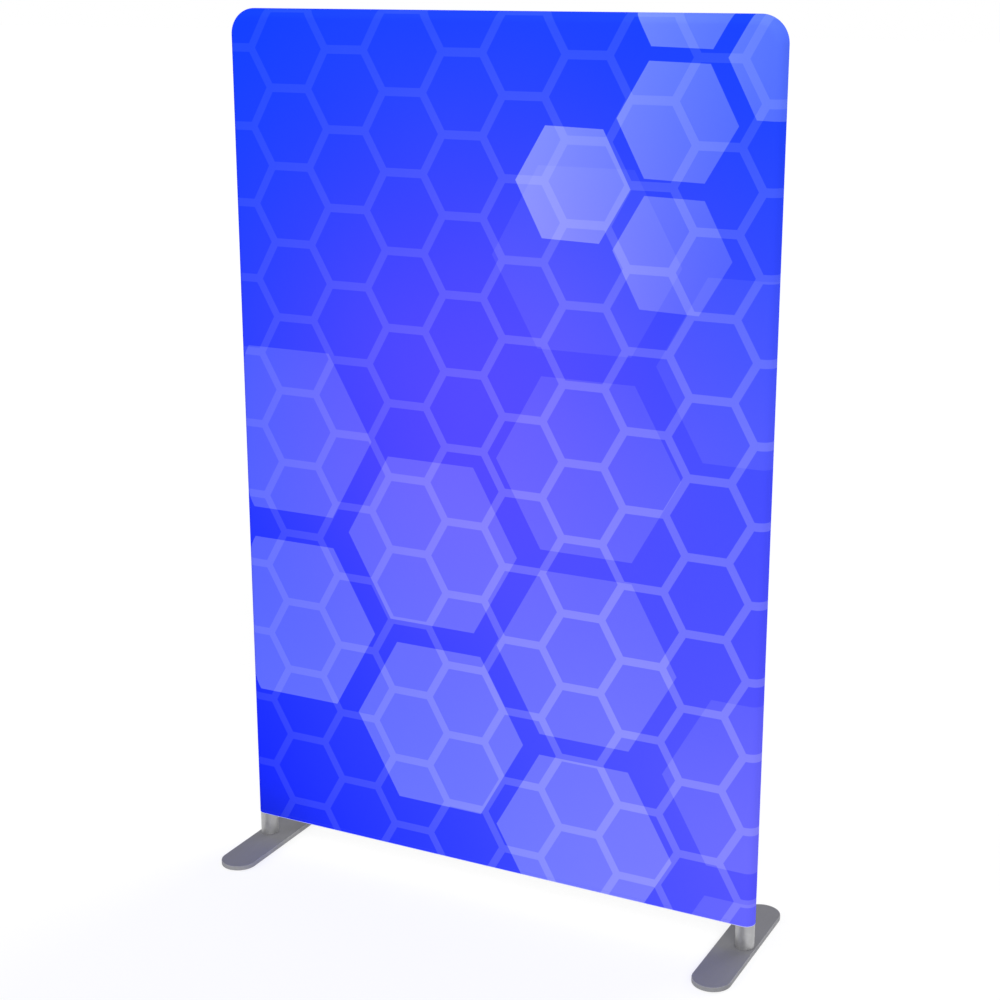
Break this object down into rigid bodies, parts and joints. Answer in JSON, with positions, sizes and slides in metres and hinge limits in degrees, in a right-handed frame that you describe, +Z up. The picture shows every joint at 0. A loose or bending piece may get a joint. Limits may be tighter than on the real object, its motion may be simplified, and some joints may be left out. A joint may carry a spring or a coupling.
{
  "type": "lightbox display wall",
  "caption": "Free-standing lightbox display wall: a round-tube frame on flat feet in a stretched printed sleeve, lit from inside by upright light bars.",
  "frame": {"origin": "on the floor, midway between the two feet", "axes": "+Z up; the printed face looks towards -Y; +X to the right of someone who faces the print"},
  "size_m": [1.5342, 0.472, 2.3645],
  "materials": {
    "print_cloth": "printed stretch knit, backlit",
    "liner_cloth": "matte woven liner",
    "anodised_tube": "satin anodised",
    "cast_alloy": "as cast",
    "foot_coating": "powder coat",
    "plated_steel": "plated",
    "zip_metal": "plated",
    "pad_rubber": "matte",
    "zip_tape": "woven tape with moulded coil",
    "bar_alloy": "white lacquer on alloy",
    "lens_plastic": "frosted clear",
    "box_plastic": "moulded",
    "harness_sheath": "cable sheath",
    "board_laminate": "glass-fibre laminate"
  },
  "bodies": {
    "frame": {"back_liner": "liner_cloth", "bottom_rail_coupler": "cast_alloy", "bottom_rail_left": "anodised_tube", "bottom_rail_right": "anodised_tube", "corner_elbow_left": "cast_alloy", "corner_elbow_right": "cast_alloy", "front_print": "print_cloth", "junction_board": "board_laminate", "junction_box_base": "box_plastic", "junction_box_lid": "box_plastic", "light_bar_1": "bar_alloy", "light_bar_2": "bar_alloy", "light_bar_3": "bar_alloy", "light_bar_4": "bar_alloy", "light_bar_5": "bar_alloy", "light_bar_6": "bar_alloy", "light_harness": "harness_sheath", "light_lens_1": "lens_plastic", "light_lens_2": "lens_plastic", "light_lens_3": "lens_plastic", "light_lens_4": "lens_plastic", "light_lens_5": "lens_plastic", "light_lens_6": "lens_plastic", "power_inlet": "box_plastic", "rail_stub_left": "cast_alloy", "rail_stub_right": "cast_alloy", "top_rail_coupler": "cast_alloy", "top_rail_left": "anodised_tube", "top_rail_right": "anodised_tube", "upright_coupler_left": "cast_alloy", "upright_coupler_right": "cast_alloy", "upright_lower_left": "anodised_tube", "upright_lower_right": "anodised_tube", "upright_upper_left": "anodised_tube", "upright_upper_right": "anodised_tube", "zip_half_back": "zip_tape", "zip_half_front": "zip_tape"},
    "foot_left": {"foot_plate_left": "foot_coating", "foot_spigot_left": "cast_alloy", "foot_screw_left": "plated_steel", "foot_pad_left_front": "pad_rubber", "foot_pad_left_back": "pad_rubber"},
    "foot_right": {"foot_plate_right": "foot_coating", "foot_spigot_right": "cast_alloy", "foot_screw_right": "plated_steel", "foot_pad_right_front": "pad_rubber", "foot_pad_right_back": "pad_rubber"},
    "upright_button_left": {"upright_button_left": "plated_steel"},
    "upright_button_right": {"upright_button_right": "plated_steel"},
    "elbow_post_button_left": {"elbow_post_button_left": "plated_steel"},
    "elbow_post_button_right": {"elbow_post_button_right": "plated_steel"},
    "elbow_rail_button_left": {"elbow_rail_button_left": "plated_steel"},
    "elbow_rail_button_right": {"elbow_rail_button_right": "plated_steel"},
    "stub_button_left": {"stub_button_left": "plated_steel"},
    "stub_button_right": {"stub_button_right": "plated_steel"},
    "top_rail_button": {"top_rail_button": "plated_steel"},
    "bottom_rail_button": {"bottom_rail_button": "plated_steel"},
    "zip_slider": {"zip_slider": "zip_metal"},
    "zip_pull": {"zip_pull": "zip_metal"}
  },
  "joints": [
    {"name": "foot_left_swivel", "type": "hinge", "parent": "frame", "child": "foot_left", "pos_m": [-0.7361, 0, 0.014], "axis": [0, 0, 1], "range_deg": [-90, 90]},
    {"name": "foot_right_swivel", "type": "hinge", "parent": "frame", "child": "foot_right", "pos_m": [0.7361, 0, 0.014], "axis": [0, 0, 1], "range_deg": [-90, 90]},
    {"name": "upright_button_left_press", "type": "slide", "parent": "frame", "child": "upright_button_left", "axis": [-1, 0, 0], "range_m": [0, 0.0048], "stiffness_N_per_m": 1500},
    {"name": "upright_button_right_press", "type": "slide", "parent": "frame", "child": "upright_button_right", "axis": [1, 0, 0], "range_m": [0, 0.0048], "stiffness_N_per_m": 1500},
    {"name": "elbow_post_button_left_press", "type": "slide", "parent": "frame", "child": "elbow_post_button_left", "axis": [-1, 0, 0], "range_m": [0, 0.0048], "stiffness_N_per_m": 1500},
    {"name": "elbow_post_button_right_press", "type": "slide", "parent": "frame", "child": "elbow_post_button_right", "axis": [1, 0, 0], "range_m": [0, 0.0048], "stiffness_N_per_m": 1500},
    {"name": "elbow_rail_button_left_press", "type": "slide", "parent": "frame", "child": "elbow_rail_button_left", "axis": [0, 0, 1], "range_m": [0, 0.0048], "stiffness_N_per_m": 1500},
    {"name": "elbow_rail_button_right_press", "type": "slide", "parent": "frame", "child": "elbow_rail_button_right", "axis": [0, 0, 1], "range_m": [0, 0.0048], "stiffness_N_per_m": 1500},
    {"name": "stub_button_left_press", "type": "slide", "parent": "frame", "child": "stub_button_left", "axis": [0, 0, -1], "range_m": [0, 0.0048], "stiffness_N_per_m": 1500},
    {"name": "stub_button_right_press", "type": "slide", "parent": "frame", "child": "stub_button_right", "axis": [0, 0, -1], "range_m": [0, 0.0048], "stiffness_N_per_m": 1500},
    {"name": "top_rail_button_press", "type": "slide", "parent": "frame", "child": "top_rail_button", "axis": [0, 0, 1], "range_m": [0, 0.0048], "stiffness_N_per_m": 1500},
    {"name": "bottom_rail_button_press", "type": "slide", "parent": "frame", "child": "bottom_rail_button", "axis": [0, 0, -1], "range_m": [0, 0.0048], "stiffness_N_per_m": 1500},
    {"name": "zip_run", "type": "slide", "parent": "frame", "child": "zip_slider", "axis": [-1, 0, 0], "range_m": [0, 1.3]},
    {"name": "zip_pull_swing", "type": "hinge", "parent": "zip_slider", "child": "zip_pull", "pos_m": [0.6611, 0.015, 0.0789], "axis": [0, 1, 0], "range_deg": [-85, 85]}
  ]
}
